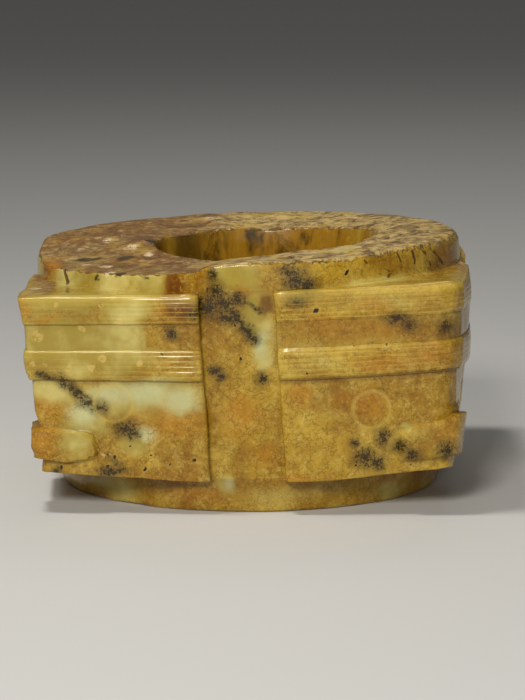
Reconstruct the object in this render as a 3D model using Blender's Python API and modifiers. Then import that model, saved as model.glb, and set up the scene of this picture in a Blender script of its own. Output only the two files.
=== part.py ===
"""A jade cong: a squat square tube of carved jade with a round bore and a round collar at each end.

The stone is one piece. A turned drum carries both collars and the floor of the four grooves. Four
corner blocks stand out from it, each carved with two lined bands, a ring eye on either face and a
nose bar across the corner. The bore was drilled from both ends. The front faces -Y, and the origin
is the middle of the foot. All sizes are in metres.
"""

import math

import bmesh
import bpy
from mathutils import Matrix, Vector

# Heights, from the foot up, at the axis
LOWER_COLLAR_HEIGHT = 0.0073
EYE_ZONE_HEIGHT = 0.0227
LOWER_BAND_HEIGHT = 0.0070
PLAIN_STRIP_HEIGHT = 0.0058
UPPER_BAND_HEIGHT = 0.0066
UPPER_COLLAR_HEIGHT = 0.0061

# The turned drum: its radius at the foot, at the ledge below the upper collar and at the rim
FOOT_RADIUS = 0.0432
LEDGE_RADIUS = 0.0478
RIM_RADIUS = 0.0474
FOOT_ROUNDING = 0.0010
RIM_ROUNDING = 0.0006
COLLAR_SINK = 0.0010

# The bore: its centre stands off the axis, its ends flare and its middle is a ridge
BORE_OFFSET_X = 0.0032
BORE_TOP_RADIUS = 0.0250
BORE_RIDGE_RADIUS = 0.0232
BORE_FOOT_RADIUS = 0.0246
BORE_RIDGE_SHARE = 0.45
MOUTH_DISH_WIDTH = 0.0060
MOUTH_DISH_DEPTH = 0.0012

# The corner blocks, in plan, measured on the bands at the ledge
CORNER_HALF_WIDTH = 0.0471
MIDDLE_HALF_WIDTH = 0.0495
BLOCK_TAPER = 0.0019
CORNER_ROUNDING = 0.0014
BLOCK_ROOT = 0.0320
GROOVE_WIDTH = 0.0162
FRONT_GROOVE_SHIFT = -0.0003
FRONT_GROOVE_LEAN = 0.0026

# The undersides of the blocks rise toward the corners, and the levels above follow less and less
CORNER_RISE_AT_FOOT = 0.0034
CORNER_RISE_AT_LEDGE = 0.0006

# The carving: how far each level stands back from the bands or out from the eye zone
EYE_ZONE_RECESS = 0.0011
STRIP_RECESS = 0.0004
EDGE_ROUNDING = 0.0006
LINE_DEPTH = 0.00022
LINE_WIDTH = 0.00050
UPPER_BAND_LINES = 6
LOWER_BAND_LINES = 5
NOSE_ABOVE_BLOCK_FOOT = 0.0026
NOSE_HEIGHT = 0.0093
NOSE_REACH = 0.0112
NOSE_RELIEF = 0.0015
NOSE_END_SLOPE = 0.0006
EYE_ABOVE_BLOCK_FOOT = 0.0161
EYE_FROM_MIDDLE = 0.0270
EYE_RADIUS = 0.0042
EYE_GROOVE_WIDTH = 0.0006
EYE_GROOVE_DEPTH = 0.00025

# The top is worn lower over the front left quarter
WORN_DEPTH = 0.0028
WORN_EDGE_X = -0.0085
WORN_EDGE_Y = -0.0040
WORN_EDGE_ROUNDING = 0.0040

# Every level climbs toward the right and the back, by this share of its height for each metre
LEAN_RIGHT = 0.72
LEAN_BACK = 0.20

DRUM_SEGMENTS = 80
BORE_SEGMENTS = 56
EYE_SEGMENTS = 20
CORNER_SEGMENTS = 3
MERGE_DISTANCE = 0.00001

JADE_COLOR = (0.47, 0.28, 0.075, 1.0)
JADE_ROUGHNESS = 0.25

block_foot = LOWER_COLLAR_HEIGHT
lower_band_foot = block_foot + EYE_ZONE_HEIGHT
strip_foot = lower_band_foot + LOWER_BAND_HEIGHT
upper_band_foot = strip_foot + PLAIN_STRIP_HEIGHT
ledge = upper_band_foot + UPPER_BAND_HEIGHT
height = ledge + UPPER_COLLAR_HEIGHT


def clear_scene():
    """Remove every object that the new scene starts with."""
    for item in list(bpy.data.objects):
        bpy.data.objects.remove(item, do_unlink=True)


def new_collection(name):
    """Make a collection in the scene."""
    collection = bpy.data.collections.new(name)
    bpy.context.scene.collection.children.link(collection)
    return collection


def jade():
    """The stone: honey brown jade with a soft polish."""
    material = bpy.data.materials.new("jade")
    material.use_nodes = True
    shader = material.node_tree.nodes["Principled BSDF"]
    shader.inputs["Base Color"].default_value = JADE_COLOR
    shader.inputs["Roughness"].default_value = JADE_ROUGHNESS
    shader.inputs["Metallic"].default_value = 0.0
    return material


def object_from(form, name, collection):
    """Put a bmesh into a new object of the given name."""
    mesh = bpy.data.meshes.new(name)
    form.to_mesh(mesh)
    form.free()
    item = bpy.data.objects.new(name, mesh)
    collection.objects.link(item)
    return item


def as_tool(item):
    """Mark an object as one that only shapes another."""
    item.hide_render = True
    item.display_type = "WIRE"
    return item


def turned(name, profile, segments, collection):
    """Turn a profile of (radius, height) points, listed from top to bottom, about the Z axis."""
    form = bmesh.new()
    points = [form.verts.new((radius, 0.0, level)) for radius, level in profile]
    for upper, lower in zip(points, points[1:]):
        form.edges.new((upper, lower))
    item = object_from(form, name, collection)
    screw = item.modifiers.new("turn", "SCREW")
    screw.steps = segments
    screw.render_steps = segments
    screw.use_merge_vertices = True
    screw.merge_threshold = MERGE_DISTANCE
    return item


def drum():
    """The turned core with both collars, before it is bored."""
    profile = [
        (0.0, height),
        (RIM_RADIUS - RIM_ROUNDING, height),
        (RIM_RADIUS, height - RIM_ROUNDING),
        (LEDGE_RADIUS, ledge - COLLAR_SINK),
        (FOOT_RADIUS, FOOT_ROUNDING),
        (FOOT_RADIUS - FOOT_ROUNDING, 0.0),
        (0.0, 0.0),
    ]
    return turned("cong", profile, DRUM_SEGMENTS, stone)


def bore():
    """The cutter for the bore: flared ends, a ridge between them and a shallow dish at the top."""
    ridge = BORE_RIDGE_SHARE * height
    profile = [
        (0.0, 1.5 * height),
        (BORE_TOP_RADIUS + 2.0 * MOUTH_DISH_WIDTH, height + MOUTH_DISH_DEPTH),
        (BORE_TOP_RADIUS, height - MOUTH_DISH_DEPTH),
        (BORE_RIDGE_RADIUS, ridge),
        (BORE_FOOT_RADIUS, 0.0),
        (BORE_FOOT_RADIUS, -0.5 * height),
        (0.0, -0.5 * height),
    ]
    cutter = as_tool(turned("bore cutter", profile, BORE_SEGMENTS, tools))
    cutter.location.x = BORE_OFFSET_X
    return cutter


def block_share(level):
    """Where a level lies between the foot of the block, 0, and the ledge, 1."""
    return (level - block_foot) / (ledge - block_foot)


def half_widths(level, recess):
    """The block's half width at the corner and at the groove, at a level, set back by a recess."""
    inward = BLOCK_TAPER * (1.0 - block_share(level)) + recess
    return CORNER_HALF_WIDTH - inward, MIDDLE_HALF_WIDTH - inward


def corner_rise(level, spread):
    """How far a point of a level stands above it. Spread is the point's x plus its y."""
    corner, middle = half_widths(level, 0.0)
    start = middle + GROOVE_WIDTH / 2.0
    share = min(max((spread - start) / (2.0 * corner - start), 0.0), 1.0)
    fade = (1.0 - block_share(level)) ** 2
    rise = CORNER_RISE_AT_LEDGE + (CORNER_RISE_AT_FOOT - CORNER_RISE_AT_LEDGE) * fade
    return rise * share


def front_groove_shift(level):
    """How far the middle of the front groove stands to the right of the axis at a level."""
    return FRONT_GROOVE_SHIFT + FRONT_GROOVE_LEAN * (0.5 - block_share(level))


def half_outline(level, recess, relief):
    """Half of a corner block's outline at a level, from its root in the drum to the corner.

    The outline follows one groove wall out, then the face, then the nose bar where relief is over
    zero, and then half of the rounded corner.
    """
    corner, middle = half_widths(level, recess)
    groove = GROOVE_WIDTH / 2.0
    slope = (middle - corner) / (corner - groove)
    nose_end = corner - NOSE_REACH
    points = [
        (groove, BLOCK_ROOT),
        (groove, middle),
        (nose_end, middle - (nose_end - groove) * slope),
    ]
    nose_top = nose_end + NOSE_END_SLOPE
    points.append((nose_top, middle - (nose_top - groove) * slope + relief))
    arc_middle = corner + relief - CORNER_ROUNDING * math.hypot(1.0, slope) / (1.0 + slope)
    face_turn = math.atan(slope)
    for step in range(CORNER_SEGMENTS):
        turn = math.pi / 2.0 - face_turn
        turn -= (math.pi / 4.0 - face_turn) * step / CORNER_SEGMENTS
        x = arc_middle + CORNER_ROUNDING * math.cos(turn)
        y = arc_middle + CORNER_ROUNDING * math.sin(turn)
        points.append((x, y))
    return points, arc_middle + CORNER_ROUNDING * math.sqrt(0.5)


def block_outline(level, recess, relief, side_x, side_y):
    """A corner block's outline at a level, as points in the quarter that the two signs give."""
    half, tip = half_outline(level, recess, relief)
    quarter = half + [(tip, tip)] + [(y, x) for x, y in reversed(half)]
    points = []
    for index, (x, y) in enumerate(quarter):
        place = Vector((side_x * x, side_y * y, level + corner_rise(level, x + y)))
        on_front_groove = side_y < 0 and index < 2
        if on_front_groove:
            place.x += front_groove_shift(level)
        points.append(place)
    return points


def edge_levels(foot, recess_below, recess):
    """The levels of a lower edge that steps out from one recess to another and is rounded."""
    step = EDGE_ROUNDING / 2.0
    return [
        (foot, recess_below, 0.0),
        (foot + step / 2.0, recess + step, 0.0),
        (foot + 2.0 * step, recess, 0.0),
    ]


def flipped(levels, foot, top):
    """The same levels upside down, so that a lower edge becomes an upper edge."""
    return [(top - (level - foot), recess, relief) for level, recess, relief in reversed(levels)]


def band_levels(foot, band_height, lines, recess_below, recess_above):
    """The levels of a band: a rounded lower edge, its incised lines and a rounded upper edge."""
    top = foot + band_height
    levels = edge_levels(foot, recess_below, 0.0)
    pitch = (band_height - 2.0 * EDGE_ROUNDING) / lines
    for number in range(lines):
        middle = foot + EDGE_ROUNDING + pitch * (number + 0.5)
        levels.append((middle - LINE_WIDTH / 2.0, 0.0, 0.0))
        levels.append((middle, LINE_DEPTH, 0.0))
        levels.append((middle + LINE_WIDTH / 2.0, 0.0, 0.0))
    levels += flipped(edge_levels(foot, recess_above, 0.0), foot, top)
    return levels


def nose_levels():
    """The levels of the nose bar, with its lower and upper edges rounded."""
    foot = block_foot + NOSE_ABOVE_BLOCK_FOOT
    top = foot + NOSE_HEIGHT
    step = EDGE_ROUNDING / 2.0
    lower = [
        (foot, EYE_ZONE_RECESS, 0.0),
        (foot + step / 2.0, EYE_ZONE_RECESS, NOSE_RELIEF - step),
        (foot + 2.0 * step, EYE_ZONE_RECESS, NOSE_RELIEF),
    ]
    return lower + flipped(lower, foot, top)


def carved_levels():
    """Every level of a corner block from its foot to the ledge, as (level, recess, relief)."""
    levels = [(block_foot, EYE_ZONE_RECESS, 0.0)]
    levels += nose_levels()
    levels += band_levels(
        lower_band_foot, LOWER_BAND_HEIGHT, LOWER_BAND_LINES, EYE_ZONE_RECESS, STRIP_RECESS
    )
    levels += band_levels(
        upper_band_foot, UPPER_BAND_HEIGHT, UPPER_BAND_LINES, STRIP_RECESS, EDGE_ROUNDING
    )
    return levels


def corner_block(form, side_x, side_y):
    """Loft one corner block through its levels. No two levels have quite the same outline."""
    rings = []
    for level, recess, relief in carved_levels():
        outline = block_outline(level, recess, relief, side_x, side_y)
        rings.append([form.verts.new(place) for place in outline])
    count = len(rings[0])
    for lower, upper in zip(rings, rings[1:]):
        for here in range(count):
            there = (here + 1) % count
            form.faces.new((lower[here], lower[there], upper[there], upper[here]))
    for ring in (rings[0], rings[-1]):
        for here in range(count // 2 - 1):
            across = count - 1 - here
            form.faces.new((ring[here], ring[here + 1], ring[across - 1], ring[across]))
        middle = count // 2
        form.faces.new((ring[middle - 1], ring[middle], ring[middle + 1]))


def corner_blocks():
    """The four corner blocks, which the drum joins into one stone."""
    form = bmesh.new()
    for side_x in (-1, 1):
        for side_y in (-1, 1):
            corner_block(form, side_x, side_y)
    bmesh.ops.triangulate(form, faces=form.faces[:])
    bmesh.ops.recalc_face_normals(form, faces=form.faces[:])
    return as_tool(object_from(form, "corner blocks", tools))


def eye_place():
    """Where an eye's middle lies on the back face of the right corner, and how it is turned."""
    level = block_foot + EYE_ABOVE_BLOCK_FOOT
    corner, middle = half_widths(level, EYE_ZONE_RECESS)
    slope = (middle - corner) / (corner - GROOVE_WIDTH / 2.0)
    y = middle - (EYE_FROM_MIDDLE - GROOVE_WIDTH / 2.0) * slope
    place = Vector((EYE_FROM_MIDDLE, y, level + corner_rise(level, EYE_FROM_MIDDLE + y)))
    outward = Vector((slope, 1.0, -BLOCK_TAPER / (ledge - block_foot)))
    turn = outward.to_track_quat("Z", "X")
    return Matrix.Translation(place) @ turn.to_matrix().to_4x4()


def eye_rings():
    """The cutters for the ring eyes: a thin turned ring on each of the eight carved faces."""
    half = EYE_GROOVE_WIDTH / 2.0
    profile = [
        (EYE_RADIUS - 2.0 * half, EYE_GROOVE_DEPTH),
        (EYE_RADIUS + 2.0 * half, EYE_GROOVE_DEPTH),
        (EYE_RADIUS, -EYE_GROOVE_DEPTH),
    ]
    form = bmesh.new()
    swap = Matrix(((0, 1, 0, 0), (1, 0, 0, 0), (0, 0, 1, 0), (0, 0, 0, 1)))
    faces_of_a_corner = (eye_place(), swap @ eye_place())
    for side_x in (-1, 1):
        for side_y in (-1, 1):
            mirror = Matrix.Diagonal((side_x, side_y, 1, 1))
            for place in faces_of_a_corner:
                ring_around(form, profile, mirror @ place)
    bmesh.ops.recalc_face_normals(form, faces=form.faces[:])
    return as_tool(object_from(form, "eye rings", tools))


def ring_around(form, profile, place):
    """Spin a small closed profile of (radius, height) points once about the place's own Z axis."""
    points = [form.verts.new((radius, 0.0, rise)) for radius, rise in profile]
    edges = [form.edges.new((points[here - 1], points[here])) for here in range(len(points))]
    axis = Vector((0.0, 0.0, 1.0))
    before = set(form.verts) - set(points)
    bmesh.ops.spin(
        form,
        geom=points + edges,
        axis=axis,
        angle=2.0 * math.pi,
        steps=EYE_SEGMENTS,
        use_merge=True,
    )
    added = [vertex for vertex in form.verts if vertex not in before]
    bmesh.ops.remove_doubles(form, verts=added, dist=MERGE_DISTANCE)
    added = [vertex for vertex in form.verts if vertex not in before]
    bmesh.ops.transform(form, matrix=place, verts=added)


def worn_quarter():
    """The cutter for the front left quarter of the top, with its edges softened."""
    reach = 2.0 * MIDDLE_HALF_WIDTH
    form = bmesh.new()
    bmesh.ops.create_cube(form, size=reach)
    middle = Vector((WORN_EDGE_X - reach / 2.0, WORN_EDGE_Y - reach / 2.0, reach / 2.0))
    middle.z += height - WORN_DEPTH
    bmesh.ops.translate(form, vec=middle, verts=form.verts[:])
    cutter = as_tool(object_from(form, "worn quarter cutter", tools))
    bevel = cutter.modifiers.new("soften", "BEVEL")
    bevel.width = WORN_EDGE_ROUNDING
    bevel.segments = 2
    return cutter


def combine(item, other, operation):
    """Join another object to an item, or cut it away, with an exact Boolean."""
    boolean = item.modifiers.new(other.name, "BOOLEAN")
    boolean.operation = operation
    boolean.solver = "EXACT"
    boolean.object = other


def lean(form):
    """Let every level climb toward the right and the back, more the higher it lies."""
    for vertex in form.verts:
        vertex.co.z *= 1.0 + LEAN_RIGHT * vertex.co.x + LEAN_BACK * vertex.co.y


def finish(item):
    """Replace an object's mesh by its evaluated form, leaned, clean and shaded."""
    evaluated = item.evaluated_get(bpy.context.evaluated_depsgraph_get())
    form = bmesh.new()
    form.from_mesh(evaluated.to_mesh())
    evaluated.to_mesh_clear()
    bmesh.ops.triangulate(form, faces=form.faces[:])
    bmesh.ops.remove_doubles(form, verts=form.verts[:], dist=MERGE_DISTANCE)
    bmesh.ops.dissolve_degenerate(form, edges=form.edges[:], dist=MERGE_DISTANCE)
    lean(form)
    item.modifiers.clear()
    form.to_mesh(item.data)
    form.free()
    item.data.shade_smooth()
    item.data.set_sharp_from_angle(angle=math.radians(25.0))


clear_scene()
stone = new_collection("jade cong")
tools = new_collection("tools")
cong = drum()
combine(cong, corner_blocks(), "UNION")
combine(cong, worn_quarter(), "DIFFERENCE")
combine(cong, bore(), "DIFFERENCE")
combine(cong, eye_rings(), "DIFFERENCE")
finish(cong)
cong.data.materials.clear()
cong.data.materials.append(jade())
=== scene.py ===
"""Looks of a jade cong: one carved stone with a round bore, honey brown with pale green zones."""

import math

import bpy
import numpy as np
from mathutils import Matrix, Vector


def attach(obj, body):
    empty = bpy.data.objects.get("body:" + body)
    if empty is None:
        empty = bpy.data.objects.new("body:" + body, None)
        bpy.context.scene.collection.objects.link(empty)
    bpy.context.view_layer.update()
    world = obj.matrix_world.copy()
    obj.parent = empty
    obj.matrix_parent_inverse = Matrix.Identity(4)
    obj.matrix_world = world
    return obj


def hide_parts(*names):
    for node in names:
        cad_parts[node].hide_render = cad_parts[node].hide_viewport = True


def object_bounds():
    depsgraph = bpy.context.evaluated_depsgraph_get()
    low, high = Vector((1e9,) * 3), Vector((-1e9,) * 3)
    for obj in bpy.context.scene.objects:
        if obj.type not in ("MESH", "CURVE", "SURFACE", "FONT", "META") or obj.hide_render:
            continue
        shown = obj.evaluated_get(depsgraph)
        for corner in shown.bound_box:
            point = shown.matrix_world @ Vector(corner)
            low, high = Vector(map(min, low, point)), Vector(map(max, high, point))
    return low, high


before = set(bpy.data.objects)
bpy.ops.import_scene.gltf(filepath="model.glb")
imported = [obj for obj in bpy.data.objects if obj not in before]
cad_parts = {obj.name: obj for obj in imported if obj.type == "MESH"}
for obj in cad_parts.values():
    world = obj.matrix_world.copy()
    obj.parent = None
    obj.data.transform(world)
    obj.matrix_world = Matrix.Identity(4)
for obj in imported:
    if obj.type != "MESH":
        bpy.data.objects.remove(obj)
cad_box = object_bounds()


# The plan of the stone.
# The cong was cut from one block of nephrite: a turned drum with a groove left in the middle of
# each side, and four corner blocks that stand out from it. Half a side is set out here.

FOOT_RADIUS = 0.0432
LEDGE_RADIUS = 0.0478
RIM_RADIUS = 0.0474
FOOT_ROUNDING = 0.0010
RIM_ROUNDING_TURNS = (0, 45, 90, 180, 270, 320, 360)
RIM_ROUNDING = (2.6, 2.2, 1.0, 0.8, 0.7, 2.0, 2.6)

CORNER_HALF_WIDTH = 0.0471
MIDDLE_HALF_WIDTH = 0.0495
BLOCK_TAPER = 0.0019
CORNER_ROUNDING = 0.0014
ARRIS_ROUNDING = 0.0008
GROOVE_HALF = 0.0081

BLOCK_FOOT = 0.0073
LEDGE = 0.0494
DRUM_LEVELS = (FOOT_ROUNDING, LEDGE - 0.0010, 0.0548)
DRUM_RADII = (FOOT_RADIUS, LEDGE_RADIUS, RIM_RADIUS)

EYE_ZONE_RECESS = 0.0011
NOSE_FOOT = 0.0099
NOSE_TOP = 0.0192
NOSE_REACH = 0.0108
NOSE_RELIEF = 0.0018
NOSE_SOFTNESS = 0.0006
NOSE_END_ROUNDING = 0.0022

# Columns of the grid, from the middle of a side's groove to the corner
FACE_BOUNDS = (0.0085, 0.0452)
FLOOR_SHARES = np.linspace(0.0, 0.95, 6)
WALL_SHARES = np.array([0.0, 0.4, 0.8])
ARRIS_TURNS = np.radians([0.0, 45.0, 90.0])
FACE_STOPS = np.concatenate([
    np.linspace(FACE_BOUNDS[0], 0.0220, 9)[1:],
    np.linspace(0.0220, 0.0320, 24)[1:],
    np.linspace(0.0320, 0.0346, 7)[1:],
    np.linspace(0.0346, 0.0446, 10)[1:],
])
FACE_SHARES = (FACE_STOPS - FACE_BOUNDS[0]) / (FACE_BOUNDS[1] - FACE_BOUNDS[0])
CORNER_SHARES = np.linspace(0.0, 1.0, 7)
WALL_START = len(FLOOR_SHARES)
ARRIS_START = WALL_START + len(WALL_SHARES)
FACE_START = ARRIS_START + len(ARRIS_TURNS)
CORNER_START = FACE_START + len(FACE_SHARES)
HALF_COLUMNS = CORNER_START + len(CORNER_SHARES) - 1


def smooth(start, end, value):
    """A smooth step from 0 at start to 1 at end: three t squared minus two t cubed."""
    t = np.clip((value - start) / (end - start), 0.0, 1.0)
    return t * t * (3.0 - 2.0 * t)


def block_share(level):
    """Where a level lies between the foot of the block, 0, and the ledge, 1."""
    return (level - BLOCK_FOOT) / (LEDGE - BLOCK_FOOT)


def nose_relief(sideways, level, corner):
    """How far the nose bar stands out: the depth inside a rectangle with a round end, softened."""
    half_height = (NOSE_TOP - NOSE_FOOT) / 2.0
    past_end = corner - NOSE_REACH + NOSE_END_ROUNDING - sideways
    past_edge = np.abs(level - NOSE_FOOT - half_height) - (half_height - NOSE_END_ROUNDING)
    outside = np.hypot(np.maximum(past_end, 0.0), np.maximum(past_edge, 0.0))
    depth = NOSE_END_ROUNDING - outside - np.minimum(np.maximum(past_end, past_edge), 0.0)
    return NOSE_RELIEF * smooth(0.0, NOSE_SOFTNESS, depth)


def half_outline(level, recess):
    """Half a side's outline, one row for each level, as distances sideways and outward.

    The floor is an arc of the drum, the wall is straight, its outer edge is a quarter circle, the
    face slopes back from the middle toward the corner, and the corner is an eighth of a circle.
    Recess sets the face and the corner back, and the nose bar sets them out.
    """
    level, recess = (np.asarray(a, float)[:, None] for a in (level, recess))
    drum_radius = np.interp(level, DRUM_LEVELS, DRUM_RADII)
    inward = BLOCK_TAPER * (1.0 - block_share(level)) + recess
    corner = CORNER_HALF_WIDTH - inward
    middle = MIDDLE_HALF_WIDTH - inward
    slope = (middle - corner) / (corner - GROOVE_HALF)

    turn = FLOOR_SHARES * np.arcsin(GROOVE_HALF / drum_radius)
    floor = drum_radius * np.sin(turn), drum_radius * np.cos(turn)

    root = np.sqrt(drum_radius ** 2 - GROOVE_HALF ** 2)
    wall_v = root + WALL_SHARES * (middle - 2.0 * ARRIS_ROUNDING - root)
    wall = np.full_like(wall_v, GROOVE_HALF), wall_v

    arris_u = GROOVE_HALF + ARRIS_ROUNDING * (1.0 - np.cos(ARRIS_TURNS))
    arris_v = middle - ARRIS_ROUNDING * (1.0 + slope - np.sin(ARRIS_TURNS))
    arris = np.broadcast_to(arris_u, arris_v.shape), arris_v

    face_turn = np.arctan(slope)
    arc_middle = corner - CORNER_ROUNDING * np.hypot(1.0, slope) / (1.0 + slope)
    first = GROOVE_HALF + ARRIS_ROUNDING
    last = arc_middle + CORNER_ROUNDING * np.sin(face_turn)
    face_u = first + FACE_SHARES * (last - first)
    nose = nose_relief(face_u, level, corner)
    face_v = middle - (face_u - GROOVE_HALF) * slope + nose
    face_u = face_u + nose * smooth(corner - NOSE_REACH, last, face_u)

    turn = math.pi / 2.0 - face_turn - (math.pi / 4.0 - face_turn) * CORNER_SHARES
    arc_middle = arc_middle + nose_relief(corner, level, corner)
    arc_u = arc_middle + CORNER_ROUNDING * np.cos(turn)
    arc_v = arc_middle + CORNER_ROUNDING * np.sin(turn)
    parts = (floor, wall, arris, (face_u, face_v), (arc_u, arc_v))
    return np.concatenate([p[0] for p in parts], 1), np.concatenate([p[1] for p in parts], 1)


# Round rings, such as the rim, share the outline's columns, spread evenly over its turns
WALL_TURN_STEP = math.radians(0.12)
ledge_u, ledge_v = half_outline([LEDGE], [0.0])
ring_turns = np.arctan2(ledge_u[0], ledge_v[0])
groove_turn = math.asin(GROOVE_HALF / LEDGE_RADIUS)
wall_columns = np.arange(FACE_START - WALL_START)
ring_turns[:WALL_START] = FLOOR_SHARES * groove_turn
ring_turns[WALL_START:FACE_START] = groove_turn + wall_columns * WALL_TURN_STEP
face_from = ring_turns[FACE_START - 1] + WALL_TURN_STEP
ring_turns[FACE_START:] = np.interp(
    ring_turns[FACE_START:], (ring_turns[FACE_START], math.pi / 4.0), (face_from, math.pi / 4.0)
)

# The front groove leans: its middle stands to the left at the ledge and to the right at the foot
FRONT_GROOVE_SHIFT = -0.0003
FRONT_GROOVE_LEAN = 0.0026
SIDE_TURNS = np.radians([-90.0, 0.0, 90.0, 180.0])
signed_column = np.arange(-HALF_COLUMNS, HALF_COLUMNS)
half_column = np.abs(signed_column)
COLUMNS = len(SIDE_TURNS) * len(signed_column)
all_half_columns = np.tile(half_column, 4)
side_of_column = np.repeat(np.arange(4), len(signed_column))
sign_of_column = np.tile(np.sign(signed_column + 0.5), 4)


def around(u, v, level, is_ring):
    """Carry half outlines round all four sides: mirror each one, turn it by its side's angle.

    On the front the groove's middle moves sideways with the level. Points on the drum move along
    its circle, so that their distance from the axis stays as it is.
    """
    u, v = u[:, half_column] * np.sign(signed_column + 0.5), v[:, half_column]
    shift = FRONT_GROOVE_SHIFT + FRONT_GROOVE_LEAN * (0.5 - np.clip(block_share(level), 0.0, 1.0))
    front_u = u + shift[:, None] * (1.0 - smooth(0.010, 0.032, np.abs(u)))
    on_drum = is_ring[:, None] | (half_column <= WALL_START)[None, :]
    front_v = np.where(on_drum, np.sqrt(u ** 2 + v ** 2 - np.minimum(front_u, 0.04) ** 2), v)
    side_u, side_v = [front_u, u, u, u], [front_v, v, v, v]
    x = [b * math.cos(a) - c * math.sin(a) for c, b, a in zip(side_u, side_v, SIDE_TURNS)]
    y = [b * math.sin(a) + c * math.cos(a) for c, b, a in zip(side_u, side_v, SIDE_TURNS)]
    return np.concatenate(x, 1), np.concatenate(y, 1)


def ring(radius, level):
    """Circles of given radii about the axis, one row for each, on the outline's columns."""
    radius = np.asarray(radius, float)
    u, v = radius[:, None] * np.sin(ring_turns), radius[:, None] * np.cos(ring_turns)
    return around(u, v, np.asarray(level, float), np.full(len(radius), True))


# The worn top.
# The upper collar is worn lower over the front left quarter, and the mouth of the bore has a soft
# dish. Both were read as depths below a level top, all the way round the rim and the mouth.

TOP_AT_AXIS = 0.0560
TOP_SLOPE_X = 0.030
RIM_WEAR_TURNS = (0, 60, 120, 172, 180, 198, 216, 236, 249, 257, 261, 269, 284, 299, 314, 325)
RIM_WEAR = (0, 0, 0.1, 0.3, 1.9, 4.0, 3.8, 3.5, 3.2, 2.6, 1.3, 0.9, 0.9, 1.0, 0.3, 0)
MOUTH_WEAR_TURNS = (0, 26, 47, 65, 90, 112, 134, 180, 228, 248, 270, 289, 308, 323, 333)
MOUTH_WEAR = (0, 0.5, 1.1, 1.5, 1.8, 1.3, 1.5, 1.3, 2.8, 3.0, 2.0, 1.4, 1.2, 1.2, 0.6)
MILLIMETRE = 0.001
DISH_POWER = 1.6

BORE_MIDDLE_X = 0.0032
BORE_TOP_RADIUS = 0.0250
BORE_RIDGE_RADIUS = 0.0232
BORE_FOOT_RADIUS = 0.0246
BORE_RIDGE_SHARE = 0.45
MOUTH_ROUNDING = 0.0008


def wear_round(turn, turns, depths):
    """Wear in metres at each turn, read from depths that are known at a few turns round."""
    return MILLIMETRE * np.interp(np.degrees(turn) % 360.0, turns, depths, period=360.0)


def top_height(x, turn, share):
    """Height of the top: a plane that climbs to the right, less the wear at rim and mouth.

    Share is 0 at the mouth and 1 at the rim. The mouth's wear fades outward by a power.
    """
    rim = wear_round(turn, RIM_WEAR_TURNS, RIM_WEAR)
    mouth = wear_round(turn, MOUTH_WEAR_TURNS, MOUTH_WEAR)
    worn = rim + (mouth - rim) * (1.0 - share) ** DISH_POWER
    return TOP_AT_AXIS + TOP_SLOPE_X * x - worn


# The levels of the stone.
# Every part of the surface is a set of rows of one closed grid: up the bore, out over the top,
# down the collar, the ledge and the carved block, and back under the foot.

LEAN_RIGHT = 0.72
LEAN_BACK = 0.20
CORNER_RISE_AT_FOOT = 0.0034
CORNER_RISE_AT_LEDGE = 0.0006
CORNER_RISE_SHARES = (0.60, 1.10, 1.10, 0.85, 0.85, 0.85, 0.85, 0.60)
CORNER_RISE_POWERS = (1.0, 1.6, 1.6, 1.0, 1.0, 1.0, 1.0, 1.0)
WALL_RUN = 0.0004


def lean(x, y):
    """How much higher a level lies here than on the axis: one plus a share of x and of y."""
    return 1.0 + LEAN_RIGHT * x + LEAN_BACK * y


def leaned(x, y, z):
    """Let every level climb toward the right and the back, more the higher it lies."""
    return z * lean(x, y)


def corner_rise(u, v, level):
    """How far a level of the block climbs toward a corner: a power of u plus v, for all columns."""
    inward = BLOCK_TAPER * (1.0 - block_share(level))
    start = MIDDLE_HALF_WIDTH - inward + GROOVE_HALF
    end = 2.0 * (CORNER_HALF_WIDTH - inward)
    fade = (1.0 - block_share(level)) ** 2
    rise = CORNER_RISE_AT_LEDGE + (CORNER_RISE_AT_FOOT - CORNER_RISE_AT_LEDGE) * fade
    way = np.clip((u + v - start) / (end - start), 0.0, 1.0)[:, half_column]
    foot_share = np.repeat(CORNER_RISE_SHARES, HALF_COLUMNS)
    power = np.repeat(CORNER_RISE_POWERS, HALF_COLUMNS)
    return rise * np.tile(way, 4) ** power * foot_share


def step_rows(level, above, below, rounding):
    """Rows of an edge that steps from one recess to another: a quarter round and a short flat."""
    outer, inner = min(above, below), max(above, below)
    reach = min(rounding, inner - outer)
    rise = np.array([1.0, 0.45, 0.12, 0.0, -0.12]) * rounding
    recess = np.array([0.0, 0.12, 0.45, 1.0, 1.0]) * reach + outer
    recess[-1] = inner
    if below > above:
        return np.stack([level + rise, recess], 1)
    return np.stack([level - rise, recess], 1)[::-1]


def plain_rows(levels, recess):
    """Rows that share one recess."""
    return np.stack([np.asarray(levels), np.full(len(levels), recess)], 1)


UPPER_BAND_FOOT = 0.0428
STRIP_FOOT = 0.0370
LOWER_BAND_FOOT = 0.0300
STRIP_RECESS = 0.0006
LINE_HALF_WIDTH = 0.00019
LINE_FLOOR_SHARE = 0.3
UPPER_LINE_GAP, LOWER_LINE_GAP = 0.00106, 0.00119
UPPER_LINES = LEDGE - 0.00065 - UPPER_LINE_GAP * np.arange(6)
LOWER_LINES = STRIP_FOOT - 0.00115 - LOWER_LINE_GAP * np.arange(5)
line_steps = LINE_HALF_WIDTH * np.array([1.0, LINE_FLOOR_SHARE, -LINE_FLOOR_SHARE, -1.0])
upper_line_levels = (UPPER_LINES[:, None] + line_steps).ravel()
lower_line_levels = (LOWER_LINES[:, None] + line_steps).ravel()

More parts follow.
